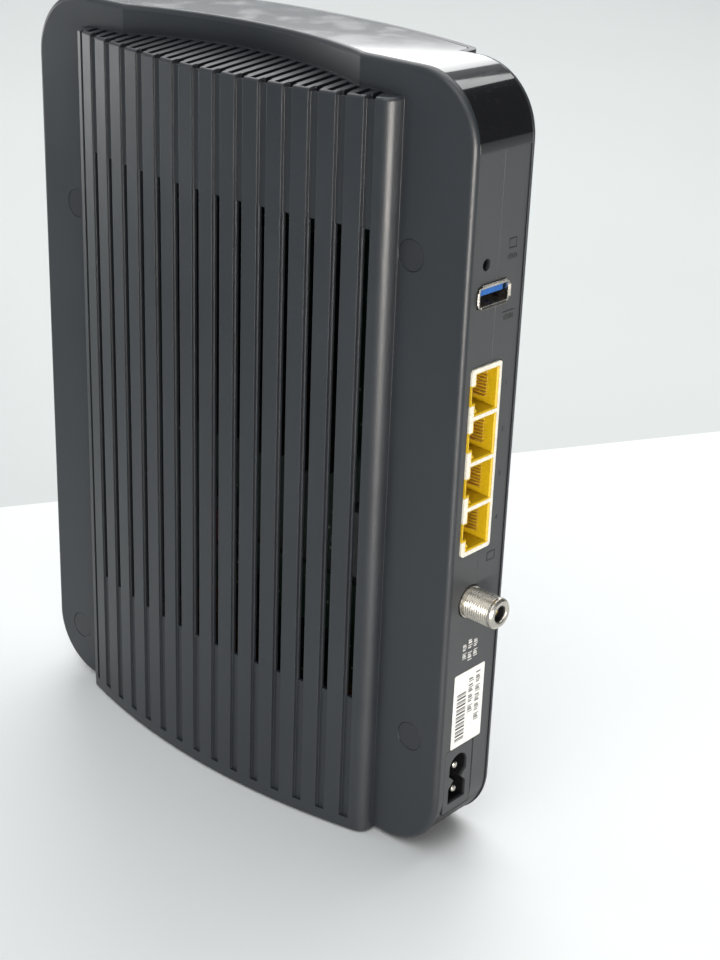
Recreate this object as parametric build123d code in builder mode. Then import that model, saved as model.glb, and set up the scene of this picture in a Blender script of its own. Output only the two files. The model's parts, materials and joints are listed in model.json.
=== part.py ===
"""Upright cable gateway: two side covers, a split centre frame, a gloss trim band and its electronics.

Millimetres, +Z up. +X is the ribbed side, -Y the front edge with the lamps, +Y the port panel.
The origin is on the surface that the gateway stands on, under the middle of its whole outline.
"""

import os
from math import asin, cos, sin, sqrt

from build123d import *

# ---- Body -------------------------------------------------------------------------------------------
BODY_DEPTH = 178.0
BODY_TOP = 241.2
BODY_BOTTOM = 0.8
CORNER_RADIUS = 20.0
FLANGE_X = 13.4
COVER_WALL = 2.0
RIM_X = FLANGE_X - COVER_WALL
FLANGE_EDGE_RADIUS = 1.8
SEAM_GAP = 0.2

BODY_HEIGHT = BODY_TOP - BODY_BOTTOM
BODY_MID_Z = (BODY_TOP + BODY_BOTTOM) / 2
REAR_Y = BODY_DEPTH / 2
FRONT_Y = -BODY_DEPTH / 2

# ---- Side bulges, in plan: an arc between two rounded ends --------------------------------------------
BULGE_FRONT_Y = -65.2
BULGE_REAR_Y = 64.2
FRONT_END_RADIUS = 1.4
REAR_END_RADIUS = 4.4
RIBBED_PEAK_X = 26.2
RIBBED_ARC_RADIUS = 247.0
PLAIN_PEAK_X = 28.0
PLAIN_ARC_RADIUS = 205.0

# ---- Ribbed field -----------------------------------------------------------------------------------
GROOVE_COUNT = 14
GROOVE_PITCH = 8.6
LAST_GROOVE_Y = 57.2
GROOVE_WIDTH = 3.2
GROOVE_DEPTH = 0.9
FRONT_GROOVE_Y = -61.9
FRONT_GROOVE_WIDTH = 1.4
SLOT_WIDTH = 2.6
GROOVE_BOTTOM_Z = 4.5
SLOT_BOTTOM_Z = 47.8
SLOT_TOP_Z = 195.6
GROOVE_YS = [LAST_GROOVE_Y - GROOVE_PITCH * i for i in range(GROOVE_COUNT)]

# The ribs bend over the top of the bulge and run back to a concave recess wall.
RIB_TOP_FRONT_Z = 231.2
RIB_TOP_BACK_Z = 233.6
RIB_BEND_RADIUS = 1.1
RECESS_HALF_LENGTH = 48.0
RECESS_WALL_X = 3.6
RECESS_SAG = FLANGE_X - RECESS_WALL_X
LIP_STEPS = ((1.4, 20.0), (0.6, 55.0))
TOP_SLOT_WIDTH = 2.1
TOP_SLOT_DEPTH = 6.0
TOP_EDGE = 1.0

# ---- Gloss band over the front, the top and the upper rear corner ---------------------------------------
BAND_THICKNESS = 2.1
BAND_REAR_SEAM_Z = 220.8
BAND_FRONT_END_Z = 5.0
BAND_HALF_WIDTH = RIM_X - SEAM_GAP
BAND_RECESS_X = RECESS_WALL_X - COVER_WALL

# ---- Port panel: every connector stands on the main board, so they share one centre line ----------------
PORT_X = 2.1
LAN_PITCH = 13.97
LAN_COUNT = 4
LAN_MID_Z = 132.0
LAN_HOUSING = (13.2, 15.0, 57.5)
USB_Z = 181.0
USB_X = PORT_X - 0.6
USB_SHELL = (13.1, 5.8)
COAX_X = 2.5
COAX_Z = 87.0
COAX_RADIUS = 4.76
COAX_REACH = 11.2
COAX_SHOULDER = 0.3
COAX_SHOULDER_RADIUS = 5.0
COAX_CHAMFER = 0.7
COAX_BORE_RADIUS = 2.6
RESET_X = 5.0
RESET_Z = 190.0
RESET_HOLE_RADIUS = 1.7
INLET_X = 2.5
INLET_Z = 26.1
INLET_BEZEL = (12.8, 22.2)
INLET_GAP = 0.4
INLET_SUNK = 0.5
INLET_PIN_SPACING = 8.6
INLET_PIN_RADIUS = 1.2
LABEL_Z = 50.4
LABEL_SIZE = (14.2, 25.6)

# ---- Boards -------------------------------------------------------------------------------------------
BOARD_X = -6.8
BOARD_THICKNESS = 1.6
BOARD_FACE_X = BOARD_X + BOARD_THICKNESS
MAIN_BOARD = (-76.0, 84.0, 76.0, 225.0)
SUPPLY_BOARD = (-62.0, 77.5, 9.5, 70.0)

# ---- Case screws, as (y, z) -----------------------------------------------------------------------------
CASE_SCREWS = [(-72.0, 175.0), (69.0, 189.8), (-76.3, 18.6), (77.5, 40.5)]
PLUG_RADIUS = 4.5
PLUG_THICKNESS = 1.1
BOSS_RADIUS = 5.2
POST_RADIUS = 3.4
POST_END_X = 4.0

# ---- Front lamps and the pairing button ------------------------------------------------------------------
LAMP_ZS = [98.0 + 11.0 * i for i in range(8)]
LAMP_WIDTH = 3.0
FRONT_BOARD = (-5.5, 6.5, 90.0, 214.0)
FRONT_BOARD_Y = -78.0
PAIRING_Z = 204.0
PAIRING_SIZE = (9.0, 7.0)
BUTTON_CLEARANCE = 0.3
FRONT_CUT_DEPTH = 8.0

FOOT_PLACES = [(16.6, 44.0), (16.6, -44.0), (-16.6, 44.0), (-16.6, -44.0)]
FOOT_RADIUS = 3.3

# The origin is under the middle of the whole outline, which the plain bulge and the coaxial connector shift.
TO_ORIGIN = ((PLAIN_PEAK_X - RIBBED_PEAK_X) / 2, -COAX_REACH / 2, 0.0)

pieces = {}


def arc_x(y, peak, radius):
    """X of a bulge's outer arc at a given y."""
    return peak - (radius - sqrt(radius * radius - y * y))


def recess_half_length(centre_x, outer_x):
    """Half length of the recess where its arc, deepest at centre_x, comes out to outer_x."""
    return RECESS_HALF_LENGTH * sqrt((outer_x - centre_x) / RECESS_SAG)


def side_outline(x, inset=0.0):
    """The body's side view, a rounded rectangle, on a plane square to X."""
    with BuildSketch(Plane.YZ.offset(x)) as outline:
        with Locations((0, BODY_MID_Z)):
            RectangleRounded(BODY_DEPTH - 2 * inset, BODY_HEIGHT - 2 * inset, CORNER_RADIUS - inset)
    return outline.sketch


def bulge_outline(z, peak, radius, inner_x, inset=0.0):
    """A bulge's plan: straight inner edge, rounded ends and a shallow outer arc."""
    front_y = BULGE_FRONT_Y + inset
    rear_y = BULGE_REAR_Y - inset
    top = peak - inset
    front_x = arc_x(front_y, top, radius - inset)
    rear_x = arc_x(rear_y, top, radius - inset)
    with BuildSketch(Plane.XY.offset(z)) as outline:
        with BuildLine():
            Polyline((front_x, front_y), (inner_x, front_y), (inner_x, rear_y), (rear_x, rear_y))
            ThreePointArc((rear_x, rear_y), (top, 0), (front_x, front_y))
        make_face()
        for last, corner_radius in ((0, FRONT_END_RADIUS), (-1, REAR_END_RADIUS - 0.5 * inset)):
            outer_corners = outline.vertices().filter_by_position(Axis.X, inner_x + 0.5, peak).sort_by(Axis.Y)
            fillet(outer_corners[last], radius=corner_radius)
    return outline.sketch


def recess_outline(z, centre_x, outer_x):
    """Plan of the recess: a concave arc that is deepest at centre_x, closed along outer_x."""
    half = recess_half_length(centre_x, outer_x)
    with BuildSketch(Plane.XY.offset(z)) as outline:
        with BuildLine():
            ThreePointArc((outer_x, half), (centre_x, 0), (outer_x, -half))
            Line((outer_x, -half), (outer_x, half))
        make_face()
    return outline.sketch


def open_plan(z):
    """Plan of the space outside the recess wall and the flange, beside and above the rib tops."""
    far_x = RIBBED_PEAK_X + 4
    far_y = BULGE_REAR_Y + 4
    with BuildSketch(Plane.XY.offset(z)) as outline:
        with BuildLine():
            Polyline(
                (FLANGE_X, RECESS_HALF_LENGTH), (FLANGE_X, far_y), (far_x, far_y), (far_x, -far_y),
                (FLANGE_X, -far_y), (FLANGE_X, -RECESS_HALF_LENGTH),
            )
            ThreePointArc((FLANGE_X, -RECESS_HALF_LENGTH), (RECESS_WALL_X, 0), (FLANGE_X, RECESS_HALF_LENGTH))
        make_face()
    return outline.sketch


def block(x_range, y_range, z_range, mode=Mode.ADD):
    """A box given by its limits."""
    spans = (x_range, y_range, z_range)
    sizes = [span[1] - span[0] for span in spans]
    centre = [(span[1] + span[0]) / 2 for span in spans]
    with Locations(tuple(centre)):
        Box(*sizes, mode=mode)


def rod(start, axis, radius, length, mode=Mode.ADD):
    """A round bar from a start point along an axis."""
    with Locations(Plane(origin=start, z_dir=axis)):
        Cylinder(radius, length, align=(Align.CENTER, Align.CENTER, Align.MIN), mode=mode)


def grooves(peak, radius, top_z):
    """Vertical grooves across a bulge, and the air slots through their floors."""
    for depth, bottom, top, width, ys in (
        (GROOVE_DEPTH, GROOVE_BOTTOM_Z, top_z, GROOVE_WIDTH, GROOVE_YS),
        (GROOVE_DEPTH, GROOVE_BOTTOM_Z, top_z, FRONT_GROOVE_WIDTH, [FRONT_GROOVE_Y]),
        (3 * COVER_WALL, SLOT_BOTTOM_Z, SLOT_TOP_Z, SLOT_WIDTH, GROOVE_YS),
    ):
        with BuildSketch(Plane.XY.offset(bottom)) as cuts:
            for y in ys:
                with Locations((arc_x(y, peak, radius), y)):
                    Rectangle(2 * depth, width)
        extrude(cuts.sketch, amount=top - bottom, mode=Mode.SUBTRACT)


def cover_plate():
    """The flat flange plate with its rounded outer edge and its locating lip inside."""
    extrude(side_outline(RIM_X), amount=COVER_WALL)
    outer_face = faces().sort_by(Axis.X)[-1]
    fillet(outer_face.edges(), radius=FLANGE_EDGE_RADIUS)
    extrude(side_outline(RIM_X, 4.6), amount=-COVER_WALL)
    extrude(side_outline(RIM_X, 5.8), amount=-COVER_WALL, mode=Mode.SUBTRACT)


def foot_pockets(side):
    """Round seats for the rubber feet, in the floor of a bulge."""
    for x, y in FOOT_PLACES:
        if x * side > 0:
            rod((abs(x), y, 0), (0, 0, 1), FOOT_RADIUS + 0.05, BODY_BOTTOM + 1.0, Mode.SUBTRACT)


# ---- Ribbed side cover -----------------------------------------------------------------------------------
with BuildPart() as right_side_cover:
    cover_plate()
    extrude(bulge_outline(BODY_BOTTOM, RIBBED_PEAK_X, RIBBED_ARC_RADIUS, RIM_X), amount=RIB_TOP_BACK_Z + 1)
    extrude(
        recess_outline(RIB_TOP_FRONT_Z - 4, RECESS_WALL_X - COVER_WALL, RIM_X + 0.1),
        amount=BODY_TOP - RIB_TOP_FRONT_Z + 4,
    )
    # Above the rib tops, which fall gently outwards, only the flange and the recess wall stand.
    rib_top_slope = (RIB_TOP_BACK_Z - RIB_TOP_FRONT_Z) / (RIBBED_PEAK_X - RECESS_WALL_X)
    far_x = RIBBED_PEAK_X + 4
    with BuildSketch(Plane.XZ.offset(-70)) as above_ribs:
        with BuildLine():
            Polyline(
                (-5, RIB_TOP_BACK_Z + rib_top_slope * (RECESS_WALL_X + 5)),
                (far_x, RIB_TOP_FRONT_Z - rib_top_slope * (far_x - RIBBED_PEAK_X)),
                (far_x, BODY_TOP + 5),
                (-5, BODY_TOP + 5),
                close=True,
            )
        make_face()
    cutter = extrude(open_plan(RIB_TOP_FRONT_Z - 3), amount=20, mode=Mode.PRIVATE)
    wedge = extrude(above_ribs.sketch, amount=140, mode=Mode.PRIVATE)
    add(cutter & wedge, mode=Mode.SUBTRACT)
    # Hollow bulge, closed at the floor and under the rib tops.
    extrude(
        bulge_outline(BODY_BOTTOM + COVER_WALL, RIBBED_PEAK_X, RIBBED_ARC_RADIUS, RIM_X - 0.01, COVER_WALL),
        amount=RIB_TOP_FRONT_Z - 1.8 - COVER_WALL - BODY_BOTTOM,
        mode=Mode.SUBTRACT,
    )
    # Rounded bend where the ribs turn over, and an eased lip along the recess.
    bend = edges().filter_by_position(Axis.Z, RIB_TOP_FRONT_Z - 1, RIB_TOP_BACK_Z)
    fillet(bend.filter_by_position(Axis.X, FLANGE_X + 2, far_x).sort_by(Axis.X)[-3:], radius=RIB_BEND_RADIUS)
    for drop, lean in LIP_STEPS:
        extrude(open_plan(BODY_TOP - drop), amount=2, taper=-lean, mode=Mode.SUBTRACT)
    grooves(RIBBED_PEAK_X, RIBBED_ARC_RADIUS, BODY_TOP)
    # Slots across the rib tops: one behind each face groove and one on each rib between. A thin edge
    # is left in front of each, and at a face groove it stands lower than the ribs.
    for step in range(2 * GROOVE_COUNT):
        y = LAST_GROOVE_Y - step * GROOVE_PITCH / 2
        back_x = max(RECESS_WALL_X + RECESS_SAG * (y / RECESS_HALF_LENGTH) ** 2, RECESS_WALL_X) + 0.4
        back_x = min(back_x, FLANGE_X + 0.2)
        face_x = arc_x(y, RIBBED_PEAK_X, RIBBED_ARC_RADIUS)
        on_groove = step % 2 == 0
        front_x = face_x - TOP_EDGE - (GROOVE_DEPTH if on_groove else 0)
        edge_z = RIB_TOP_BACK_Z - rib_top_slope * (face_x - RECESS_WALL_X) - GROOVE_DEPTH
        with BuildSketch(Plane.XZ.offset(-y - TOP_SLOT_WIDTH / 2)) as cut:
            with BuildLine():
                start_z = RIB_TOP_BACK_Z - rib_top_slope * (back_x - RECESS_WALL_X) - TOP_SLOT_DEPTH
                end_z = RIB_TOP_BACK_Z - rib_top_slope * (front_x - RECESS_WALL_X) - TOP_SLOT_DEPTH
                Polyline((back_x, start_z), (front_x, end_z), (front_x, BODY_TOP), (back_x, BODY_TOP), close=True)
            make_face()
        extrude(cut.sketch, amount=TOP_SLOT_WIDTH, mode=Mode.SUBTRACT)
        if on_groove:
            half_groove = GROOVE_WIDTH / 2
            block(
                (front_x - 0.5, face_x + 1),
                (y - half_groove, y + half_groove),
                (edge_z, BODY_TOP),
                Mode.SUBTRACT,
            )
    # Screw bosses behind the flange, each with a seat for its plug and its screw head.
    for y, z in CASE_SCREWS:
        rod((POST_END_X, y, z), (1, 0, 0), BOSS_RADIUS, RIM_X - POST_END_X + 0.5)
        rod((FLANGE_X - PLUG_THICKNESS, y, z), (1, 0, 0), PLUG_RADIUS + 0.1, 5, Mode.SUBTRACT)
        rod((POST_END_X + 2.5, y, z), (1, 0, 0), 3.0, 12, Mode.SUBTRACT)
        rod((POST_END_X - 1, y, z), (1, 0, 0), 1.7, 12, Mode.SUBTRACT)
    foot_pockets(1)


# ---- Plain-topped side cover, drawn on the +X side and mirrored over -----------------------------------
with BuildPart() as left_side_cover:
    cover_plate()
    extrude(bulge_outline(BODY_BOTTOM, PLAIN_PEAK_X, PLAIN_ARC_RADIUS, RIM_X), amount=BODY_HEIGHT)
    extrude(
        bulge_outline(BODY_BOTTOM + COVER_WALL, PLAIN_PEAK_X, PLAIN_ARC_RADIUS, RIM_X - 0.01, COVER_WALL),
        amount=BODY_HEIGHT - 2 * COVER_WALL - BAND_THICKNESS,
        mode=Mode.SUBTRACT,
    )
    extrude(
        bulge_outline(BODY_TOP - BAND_THICKNESS - 0.1, PLAIN_PEAK_X, PLAIN_ARC_RADIUS, RIM_X - 0.01, COVER_WALL),
        amount=2 * BAND_THICKNESS,
        mode=Mode.SUBTRACT,
    )
    grooves(PLAIN_PEAK_X, PLAIN_ARC_RADIUS, BODY_TOP - 14.0)
    for y, z in CASE_SCREWS:
        rod((-POST_END_X + 0.1, y, z), (1, 0, 0), POST_RADIUS, RIM_X + POST_END_X)
        rod((-POST_END_X, y, z), (1, 0, 0), 1.2, 12, Mode.SUBTRACT)
    foot_pockets(-1)
    mirror(about=Plane.YZ, mode=Mode.REPLACE)


# ---- Gloss band ---------------------------------------------------------------------------------------
def front_openings():
    """Windows for the lamps and the opening for the pairing button, drawn just off the front edge."""
    with BuildSketch(Plane.XZ.offset(REAR_Y + 1)) as openings:
        for z in LAMP_ZS:
            with Locations((0, z)):
                RectangleRounded(LAMP_WIDTH + 0.1, LAMP_WIDTH + 0.1, 0.6)
        with Locations((0, PAIRING_Z)):
            RectangleRounded(PAIRING_SIZE[0] + 2 * BUTTON_CLEARANCE, PAIRING_SIZE[1] + 2 * BUTTON_CLEARANCE, 1.8)
    return openings.sketch


def band_ring(clearance):
    """The band's thickness all round the body, without the stretches it leaves open."""
    extrude(side_outline(-40), amount=80)
    extrude(side_outline(-40, BAND_THICKNESS + clearance), amount=80, mode=Mode.SUBTRACT)
    block((-41, 41), (0, REAR_Y + 1), (-1, BAND_REAR_SEAM_Z - clearance), Mode.SUBTRACT)
    block((-41, 41), (FRONT_Y - 1, 1), (-1, BAND_FRONT_END_Z - clearance), Mode.SUBTRACT)


with BuildPart() as gloss_band:
    band_ring(0)
    # Plan of the band: straight over the flanges, drawn in by the recess and out over the plain bulge.
    with BuildPart(mode=Mode.PRIVATE) as band_plan:
        block((-BAND_HALF_WIDTH, BAND_HALF_WIDTH), (FRONT_Y - 1, REAR_Y + 1), (-1, BODY_TOP + 1))
        extrude(recess_outline(-1, BAND_RECESS_X, FLANGE_X), amount=BODY_TOP + 2, mode=Mode.SUBTRACT)
        plain_top = bulge_outline(
            -1, PLAIN_PEAK_X, PLAIN_ARC_RADIUS, RIM_X - 1, COVER_WALL + SEAM_GAP
        )
        add(extrude(mirror(plain_top, about=Plane.YZ, mode=Mode.PRIVATE), amount=BODY_TOP + 2, mode=Mode.PRIVATE))
    add(band_plan.part, mode=Mode.INTERSECT)
    # Windows for the lamps and the opening for the pairing button.
    extrude(front_openings(), amount=-FRONT_CUT_DEPTH, mode=Mode.SUBTRACT)


# ---- Centre frame, in two halves that meet behind the connectors ----------------------------------------
def inlet_shape(width, height):
    """A mains inlet's outline: one round end, one square end."""
    with BuildSketch(Plane.XZ.offset(-REAR_Y - 2)) as outline:
        with Locations((INLET_X, INLET_Z + (height - width) / 2)):
            Circle(width / 2)
        with Locations((INLET_X, INLET_Z - width / 4)):
            Rectangle(width, height - width / 2)
    return outline.sketch


def frame_half(x_range):
    """One half of the ring-shaped centre frame, with its share of the connector openings."""
    x_start, x_end = x_range
    extrude(side_outline(x_start, 0.35), amount=x_end - x_start)
    with BuildPart(mode=Mode.PRIVATE) as hollow:
        block((x_start - 1, x_end + 1), (-84.8, 84.8), (BODY_BOTTOM + 2.4, BODY_TOP - 4.4))
        fillet(hollow.edges().filter_by(Axis.X), radius=15.0)
        block((x_start - 1, x_end + 1), (60, REAR_Y - 2.4), (20.0, 214.0))
    add(hollow.part, mode=Mode.SUBTRACT)
    with BuildPart(mode=Mode.PRIVATE) as band_room:
        band_ring(0.1)
    add(band_room.part, mode=Mode.SUBTRACT)
    with BuildSketch(Plane.XZ.offset(-REAR_Y - 1)) as openings:
        with Locations((PORT_X, LAN_MID_Z)):
            RectangleRounded(LAN_HOUSING[0] + 0.5, LAN_HOUSING[2] + 0.5, 1.3)
        with Locations((USB_X, USB_Z)):
            RectangleRounded(USB_SHELL[0] + 0.6, USB_SHELL[1] + 0.6, 0.9)
        with Locations((COAX_X, COAX_Z)):
            Circle(COAX_RADIUS + 0.5)
        with Locations((RESET_X, RESET_Z)):
            Circle(RESET_HOLE_RADIUS)
        with Locations((INLET_X, INLET_Z)):
            RectangleRounded(INLET_BEZEL[0] + 2 * INLET_GAP, INLET_BEZEL[1] + 2 * INLET_GAP, 0.6)
    extrude(openings.sketch, amount=10, mode=Mode.SUBTRACT)
    extrude(front_openings(), amount=-FRONT_CUT_DEPTH, mode=Mode.SUBTRACT)
    # Air slots in the floor, and short notches round the lower rear corner.
    with BuildSketch(Plane.XY.offset(-1)) as floor_slots:
        for i in range(11):
            for x in (-6.5, 6.5):
                with Locations((x, -55 + 11 * i)):
                    SlotOverall(6.0, 2.4)
    extrude(floor_slots.sketch, amount=6, mode=Mode.SUBTRACT)
    with BuildSketch(Plane.XZ.offset(-REAR_Y - 1)) as notches:
        for i in range(5):
            with Locations((-6.0 + 3.1 * i, 6.4)):
                Rectangle(1.5, 6.0)
    extrude(notches.sketch, amount=12, mode=Mode.SUBTRACT)


with BuildPart() as right_frame:
    frame_half((0.05, RIM_X - SEAM_GAP))
    extrude(
        recess_outline(RIB_TOP_FRONT_Z - 6, BAND_RECESS_X - SEAM_GAP, FLANGE_X), amount=30, mode=Mode.SUBTRACT
    )

with BuildPart() as left_frame:
    frame_half((SEAM_GAP - RIM_X, -0.05))


# ---- Case screws, their plugs and the feet ----------------------------------------------------------------
with BuildPart() as screw_plugs:
    for y, z in CASE_SCREWS:
        rod((FLANGE_X - PLUG_THICKNESS, y, z), (1, 0, 0), PLUG_RADIUS, PLUG_THICKNESS - 0.1)

with BuildPart() as case_screws:
    for y, z in CASE_SCREWS:
        rod((POST_END_X + 2.5, y, z), (1, 0, 0), 2.9, 2.2)
        rod((POST_END_X - 9.0, y, z), (1, 0, 0), 1.15, 11.6)
        rod((POST_END_X + 3.6, y, z), (1, 0, 0), 0.8, 2.0, Mode.SUBTRACT)

with BuildPart() as rubber_feet:
    for x, y in FOOT_PLACES:
        rod((x, y, 0), (0, 0, 1), FOOT_RADIUS, BODY_BOTTOM + 1.0)
    fillet(faces().group_by(Axis.Z)[0].edges(), radius=0.3)

with BuildPart() as label_sticker:
    with BuildSketch(Plane.XZ.offset(-REAR_Y + 0.35)) as label_outline:
        with Locations((0.1, LABEL_Z)):
            RectangleRounded(*LABEL_SIZE, 0.5)
    extrude(label_outline.sketch, amount=-0.15)


# ---- Main board ---------------------------------------------------------------------------------------
def board(limits, holes):
    """A circuit board parallel to the covers, with clearance round the case posts."""
    y_start, y_end, z_start, z_end = limits
    block((BOARD_X, BOARD_FACE_X), (y_start, y_end), (z_start, z_end))
    fillet(edges().filter_by(Axis.X), radius=3.0)
    for y, z in CASE_SCREWS:
        rod((BOARD_X - 1, y, z), (1, 0, 0), POST_RADIUS + 0.8, 4, Mode.SUBTRACT)
    for y, z in holes:
        rod((BOARD_X - 1, y, z), (1, 0, 0), 1.6, 4, Mode.SUBTRACT)


MAIN_SCREWS = [(-68.0, 84.0), (-68.0, 217.0), (48.0, 217.0), (30.0, 84.0)]
SUPPLY_SCREWS = [(-56.0, 16.0), (-56.0, 64.0), (64.0, 64.0), (50.0, 15.0)]

with BuildPart() as main_board:
    board(MAIN_BOARD, MAIN_SCREWS)

with BuildPart() as supply_board:
    board(SUPPLY_BOARD, SUPPLY_SCREWS)

with BuildPart() as board_standoffs:
    for y, z in MAIN_SCREWS + SUPPLY_SCREWS:
        rod((SEAM_GAP - RIM_X, y, z), (1, 0, 0), 3.0, BOARD_X + RIM_X - SEAM_GAP)
        rod((-10.0, y, z), (1, 0, 0), 1.3, 6, Mode.SUBTRACT)

with BuildPart() as board_screws:
    for y, z in MAIN_SCREWS + SUPPLY_SCREWS:
        rod((BOARD_X - 2.6, y, z), (1, 0, 0), 1.25, BOARD_THICKNESS + 3.0)
        rod((BOARD_FACE_X, y, z), (1, 0, 0), 2.7, 1.6)
        rod((BOARD_FACE_X + 0.9, y, z), (1, 0, 0), 0.8, 2, Mode.SUBTRACT)

with BuildPart() as processor:
    block((BOARD_FACE_X, BOARD_FACE_X + 2.2), (-24, 4), (134, 162))
    fillet(edges().filter_by(Axis.X), radius=0.8)

with BuildPart() as thermal_pad:
    block((BOARD_FACE_X + 2.2, BOARD_FACE_X + 3.2), (-22, 2), (136, 160))

SINK_FIN_COUNT = 13
SINK_FIN_PITCH = 6.5
SINK_FIN_YS = [-43.1 + SINK_FIN_PITCH * i for i in range(SINK_FIN_COUNT)]
SINK_PIN_PLACES = [(SINK_FIN_YS[0] + SINK_FIN_PITCH / 2, 116.0), (SINK_FIN_YS[-2] + SINK_FIN_PITCH / 2, 180.0)]

with BuildPart() as processor_heat_sink:
    sink_x = BOARD_FACE_X + 3.2
    block((sink_x, sink_x + 3), (-44, 36), (112, 184))
    for fin_y in SINK_FIN_YS:
        block((sink_x + 3, 11.0), (fin_y - 0.6, fin_y + 0.6), (112, 184))
    for y, z in SINK_PIN_PLACES:
        rod((sink_x - 1, y, z), (1, 0, 0), 2.0, 6, Mode.SUBTRACT)

with BuildPart() as heat_sink_pins:
    for y, z in SINK_PIN_PLACES:
        rod((BOARD_FACE_X, y, z), (1, 0, 0), 1.5, 6.2)
        rod((sink_x + 3.0, y, z), (1, 0, 0), 2.3, 1.4)

with BuildPart() as memory_chips:
    for y, z in ((14, 100), (-14, 100), (-58, 128)):
        block((BOARD_FACE_X, BOARD_FACE_X + 1.2), (y - 5, y + 5), (z - 7, z + 7))

with BuildPart() as radio_shields:
    for y_range, z_range in (((-60, -22), (192, 216)), ((-12, 22), (192, 216))):
        block((BOARD_FACE_X, BOARD_FACE_X + 3.0), y_range, z_range)
        block(
            (BOARD_FACE_X - 0.1, BOARD_FACE_X + 2.7),
            (y_range[0] + 0.3, y_range[1] - 0.3),
            (z_range[0] + 0.3, z_range[1] - 0.3),
            Mode.SUBTRACT,
        )

with BuildPart() as tuner_shield:
    block((BOARD_FACE_X, 2.0), (38, 66), (78, 100))
    block((BOARD_FACE_X - 0.1, 1.6), (38.4, 65.6), (78.4, 99.6), Mode.SUBTRACT)

with BuildPart() as network_transformers:
    for z in (LAN_MID_Z - 14, LAN_MID_Z + 14):
        block((BOARD_FACE_X, BOARD_FACE_X + 6), (58, 70), (z - 10, z + 10))
    fillet(edges().filter_by(Axis.X), radius=0.6)

# ---- Network sockets: one housing with a coloured insert and eight spring wires behind each opening -----
LAN_FACE_Y = REAR_Y + 0.2
LAN_ZS = [LAN_MID_Z + LAN_PITCH * ((LAN_COUNT - 1) / 2 - i) for i in range(LAN_COUNT)]
LAN_OUTER_X = PORT_X + LAN_HOUSING[0] / 2
INSERT_MAIN = (PORT_X - 5.5, PORT_X + 5.0, 6.35)
INSERT_KEY = (PORT_X + 5.0, LAN_OUTER_X, 3.0)
SOCKET_MAIN = (PORT_X - 4.8, PORT_X + 4.4, 5.9)
SOCKET_KEY = (PORT_X + 4.4, PORT_X + 6.0, 2.4)
LATCH_RAMP = (2.4, 3.0, 7.0)


def keyed_outline(y, z, main, key, clearance=0.0):
    """A network socket's front view: the main opening with the latch key beside it."""
    with BuildSketch(Plane.XZ.offset(-y)) as outline:
        for start_x, end_x, half_z in (main, key):
            with Locations(((start_x + end_x) / 2, z)):
                Rectangle(end_x - start_x + 2 * clearance, 2 * (half_z + clearance))
    return outline.sketch


with BuildPart() as lan_housing:
    block(
        (PORT_X - LAN_HOUSING[0] / 2, LAN_OUTER_X),
        (LAN_FACE_Y - LAN_HOUSING[1], LAN_FACE_Y),
        (LAN_MID_Z - LAN_HOUSING[2] / 2, LAN_MID_Z + LAN_HOUSING[2] / 2),
    )
    fillet(edges().filter_by(Axis.Y), radius=1.1)
    for z in LAN_ZS:
        extrude(keyed_outline(LAN_FACE_Y + 1, z, INSERT_MAIN, INSERT_KEY, 0.02), amount=14.5, mode=Mode.SUBTRACT)

for number, z in enumerate(LAN_ZS, start=1):
    with BuildPart() as lan_insert:
        extrude(keyed_outline(LAN_FACE_Y, z, INSERT_MAIN, INSERT_KEY), amount=13.3)
        extrude(keyed_outline(LAN_FACE_Y + 1, z, SOCKET_MAIN, SOCKET_KEY), amount=13.2, mode=Mode.SUBTRACT)
        front_edges = faces().sort_by(Axis.Y)[-1].inner_wires()[0].edges()
        chamfer(front_edges, length=0.35)
        # Ramp beside the latch key, in the lower outer corner.
        with BuildSketch(Plane.XZ.offset(-LAN_FACE_Y + 1.0)) as ramp:
            with BuildLine():
                Polyline(
                    (SOCKET_MAIN[1] + 0.2, z - SOCKET_MAIN[2] - 0.2),
                    (SOCKET_MAIN[1] + 0.2, z - SOCKET_MAIN[2] + LATCH_RAMP[1]),
                    (SOCKET_MAIN[1] - LATCH_RAMP[0], z - SOCKET_MAIN[2] - 0.2),
                    close=True,
                )
            make_face()
        extrude(ramp.sketch, amount=LATCH_RAMP[2])
    pieces["lan_insert_" + str(number)] = lan_insert

with BuildPart() as lan_contacts:
    for z in LAN_ZS:
        for i in range(8):
            wire_z = z + 1.02 * (i - 3.5)
            with BuildSketch(Plane.XY.offset(wire_z - 0.2)) as wire:
                with BuildLine():
                    Polyline((SOCKET_MAIN[0], 85.5), (SOCKET_MAIN[0] + 1.3, 79.0), (SOCKET_MAIN[0] + 1.3, 77.4))
                    offset(amount=0.18, side=Side.BOTH)
                make_face()
            extrude(wire.sketch, amount=0.4)
    block((SOCKET_MAIN[0] - 5, SOCKET_MAIN[0] + 0.02), (60, 95), (80, 190), Mode.SUBTRACT)

# ---- USB socket ---------------------------------------------------------------------------------------
USB_WALL = 0.4
USB_LIP = (0.8, 0.45)

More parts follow.
